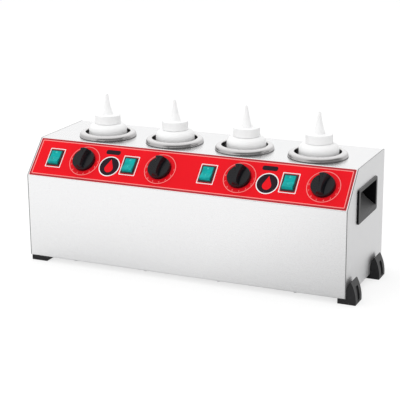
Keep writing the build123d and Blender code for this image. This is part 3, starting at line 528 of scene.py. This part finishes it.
def make_rocker_marks(index, x):
    """ON and OFF marks on a rocker: a dash on its lower face and a ring on its upper face."""
    place = panel_place(x, control_level + mark_rise, upper_face_out)
    ring = [circle(mark_radius, mark_steps), circle(mark_radius - mark_line, mark_steps)]
    parts = [mesh_piece("ring", place, ink["mint"], ring)]
    place = panel_place(x, control_level - dash_drop, lower_face_out)
    place = place @ Matrix.Rotation(lower_face_turn, 4, "X")
    dash = rounded_rectangle(*dash_size, dash_corner)
    parts.append(mesh_piece("dash", place, ink["mint"], [dash]))
    return join_pieces(f"print_rocker_{index}", parts)


badge_size = 40.0 * MM
badge_line = 1.8 * MM
drop_radius = 8.0 * MM
drop_sink = 4.0 * MM
drop_tip = 14.5 * MM
badge_places = {1: (-145.5 * MM, 33.5 * MM), 2: (151.9 * MM, 33.7 * MM)}
plate_size = (28.0 * MM, 8.7 * MM)
plate_corner = 0.42 * plate_size[1]
plate_places = {1: (-146.3 * MM, 61.8 * MM), 2: (149.8 * MM, 62.7 * MM)}


def make_badge(index, x, along):
    """Generic round mark: pale rim, dark field and a red drop."""
    place = panel_place(panel_centre_x + x, along, film_face)
    radius = badge_size / 2
    rim = [circle(radius), circle(radius - badge_line)]
    bowl = arc_points(drop_radius, 60, 300, 40, (0, -drop_sink))
    drop = [(0, drop_tip)] + bowl
    field = [circle(radius - badge_line), drop]
    parts = [
        mesh_piece("rim", place, ink["white"], rim),
        mesh_piece("field", place, ink["black"], field),
        mesh_piece("drop", place, ink["red"], [drop]),
    ]
    return join_pieces(f"print_badge_{index}", parts)


def make_plate(index, x, along):
    """Bare dark plate with round ends."""
    place = panel_place(panel_centre_x + x, along, film_face)
    outline = rounded_rectangle(*plate_size, plate_corner)
    return mesh_piece(f"print_plate_{index}", place, ink["black"], [outline])


prints = make_border()
prints += [make_dial_print(i, dial_xs[i - 1]) for i in UNITS]
prints += [make_switch_print(i, switch_xs[i - 1]) for i in UNITS]
prints += [make_badge(i, *badge_places[i]) for i in badge_places]
prints += [make_plate(i, *plate_places[i]) for i in plate_places]
for piece in prints:
    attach(piece, "casing")
for i in UNITS:
    marks = make_rocker_marks(i, switch_xs[i - 1])
    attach(marks, f"switch_rocker_{i}")

# ---------------------------------------------------------------- studio


def blend(tree, factor, first, second):
    """Mix of two tones, each a number or a socket."""
    node = add_node(tree, "ShaderNodeMix", data_type="FLOAT")
    tree.links.new(factor, node.inputs["Factor"])
    for name, value in (("A", first), ("B", second)):
        if isinstance(value, float):
            node.inputs[name].default_value = value
        else:
            tree.links.new(value, node.inputs[name])
    return node.outputs["Result"]


FLOOR_HALF = 6.0
FLOOR_GLOW = 0.70
FLOOR_GLOW_IN_GLOSS = 0.12
FLOOR_ALBEDO = 0.9
FLOOR_ALBEDO_SEEN = 0.35
# Painted shade on the floor, seen only in reflections: darker to the right, near the warmer's front and
# behind it.
FLOOR_LEFT_TONE = 0.84
FLOOR_RIGHT_TONE = 0.57
FLOOR_NEAR_SHADE_FACTOR = 0.86
FLOOR_BEHIND_TONE = 0.60
FLOOR_ACROSS_SPAN = (0.0, 0.34)
FLOOR_NEAR_SPAN = (-0.45, -0.14)
FLOOR_BEHIND_SPAN = (-0.12, 0.02)


def make_floor():
    """Pale floor, nearly white in view; where gloss sees it, it carries painted shade: darker to the
    right, towards the warmer's front and behind.
    """
    material, tree, shader = new_material("floor_white")
    shader.inputs["Roughness"].default_value = 0.9
    shader.inputs["Specular IOR Level"].default_value = 0.0
    shader.inputs["Emission Color"].default_value = (1, 1, 1, 1)
    path = add_node(tree, "ShaderNodeLightPath")
    seen = calculate(tree, "MAXIMUM", path.outputs["Is Camera Ray"], path.outputs["Is Transmission Ray"])
    place = object_split(tree)
    across = fade(tree, place["X"], *FLOOR_ACROSS_SPAN, FLOOR_LEFT_TONE, FLOOR_RIGHT_TONE)
    near = fade(tree, place["Y"], *FLOOR_NEAR_SPAN, 1.0, FLOOR_NEAR_SHADE_FACTOR)
    behind = fade(tree, place["Y"], *FLOOR_BEHIND_SPAN, 0.0, 1.0)
    gloss_tone = blend(tree, behind, calculate(tree, "MULTIPLY", across, near), FLOOR_BEHIND_TONE)
    in_gloss = blend(tree, path.outputs["Is Glossy Ray"], FLOOR_ALBEDO, gloss_tone)
    tone = blend(tree, seen, in_gloss, FLOOR_ALBEDO_SEEN)
    tree.links.new(tone, shader.inputs["Base Color"])
    gloss_glow = calculate(tree, "MULTIPLY", path.outputs["Is Glossy Ray"], FLOOR_GLOW_IN_GLOSS)
    glow = blend(tree, seen, gloss_glow, FLOOR_GLOW)
    tree.links.new(glow, shader.inputs["Emission Strength"])
    mesh = bpy.data.meshes.new("floor")
    sides = ((-1, -1), (1, -1), (1, 1), (-1, 1))
    mesh.from_pydata([(x * FLOOR_HALF, y * FLOOR_HALF, 0) for x, y in sides], [], [(0, 1, 2, 3)])
    floor = bpy.data.objects.new("floor", mesh)
    bpy.context.scene.collection.objects.link(floor)
    paint(floor, material)


ROOM_LEVEL = 0.85
DIM_SIDE = 1.2
DIM_EDGE = (0.15, 0.85)
DIM_FOOT = (-0.05, 0.05)
DIM_TOP = (0.85, 0.5)
DIM_STRENGTH = 0.72


def smooth_step(tree, source, low, high):
    """Number that goes smoothly from 0 to 1 as the source goes from low to high."""
    node = add_node(tree, "ShaderNodeMapRange", interpolation_type="SMOOTHSTEP")
    node.inputs["From Min"].default_value = low
    node.inputs["From Max"].default_value = high
    tree.links.new(source, node.inputs["Value"])
    return node.outputs["Result"]


def make_world():
    """White room; its lower front is dim where only gloss sees it, like the dark side of a studio."""
    world = bpy.data.worlds.new("studio")
    bpy.context.scene.world = world
    world.use_nodes = True
    tree = world.node_tree
    background = tree.nodes["Background"]
    direction = add_node(tree, "ShaderNodeTexCoord")
    split = add_node(tree, "ShaderNodeSeparateXYZ")
    tree.links.new(direction.outputs["Generated"], split.inputs["Vector"])
    side = calculate(tree, "MULTIPLY", split.outputs["X"], DIM_SIDE)
    front = smooth_step(tree, calculate(tree, "SUBTRACT", side, split.outputs["Y"]), *DIM_EDGE)
    above_floor = smooth_step(tree, split.outputs["Z"], *DIM_FOOT)
    below_top = smooth_step(tree, split.outputs["Z"], *DIM_TOP)
    dim = calculate(tree, "MULTIPLY", front, calculate(tree, "MULTIPLY", above_floor, below_top))
    gloss_level = calculate(tree, "SUBTRACT", 1.0, calculate(tree, "MULTIPLY", dim, DIM_STRENGTH))
    path = add_node(tree, "ShaderNodeLightPath")
    seen = calculate(tree, "MAXIMUM", path.outputs["Is Camera Ray"], path.outputs["Is Transmission Ray"])
    in_gloss = calculate(tree, "MULTIPLY", path.outputs["Is Glossy Ray"], gloss_level)
    bare = calculate(tree, "MAXIMUM", seen, path.outputs["Is Glossy Ray"])
    other = calculate(tree, "MULTIPLY", calculate(tree, "SUBTRACT", 1.0, bare), ROOM_LEVEL)
    total = calculate(tree, "ADD", seen, calculate(tree, "ADD", in_gloss, other))
    tree.links.new(total, background.inputs["Strength"])
    background.inputs["Color"].default_value = (1, 1, 1, 1)


LAMP_TARGET = Vector((0, 0, 0.1))


def add_lamp(name, place, size, watts):
    """Soft square lamp aimed at the warmer."""
    lamp = bpy.data.lights.new(name, "AREA")
    lamp.shape = "SQUARE"
    lamp.size = size
    lamp.energy = watts
    holder = bpy.data.objects.new(name, lamp)
    holder.location = place
    holder.rotation_euler = (LAMP_TARGET - Vector(place)).to_track_quat("-Z", "Y").to_euler()
    holder.visible_glossy = False
    bpy.context.scene.collection.objects.link(holder)


CAMERA_SENSOR = 36.0
CAMERA_LENS = 113.144
CAMERA_PLACE = (0.87112, -1.97006, 0.74935)
CAMERA_YAW = 0.42312
CAMERA_PITCH = 0.28499
CAMERA_ROLL = -0.00904


def make_camera():
    """Camera from the right and above, as the warmer is usually shown."""
    camera = bpy.data.cameras.new("camera")
    camera.sensor_width = CAMERA_SENSOR
    camera.lens = CAMERA_LENS
    holder = bpy.data.objects.new("camera", camera)
    level_turn = Euler((math.pi / 2 - CAMERA_PITCH, 0, CAMERA_YAW)).to_matrix()
    turn = level_turn @ Matrix.Rotation(CAMERA_ROLL, 3, "Z")
    holder.matrix_world = Matrix.Translation(CAMERA_PLACE) @ turn.to_4x4()
    bpy.context.scene.collection.objects.link(holder)
    bpy.context.scene.camera = holder


make_floor()
make_world()
add_lamp("top_box", (-0.5, 0.3, 2.2), size=1.6, watts=10)
add_lamp("front_fill", (-0.5, -2.2, 1.6), size=1.5, watts=9)
make_camera()
bpy.context.scene.view_settings.view_transform = "Standard"
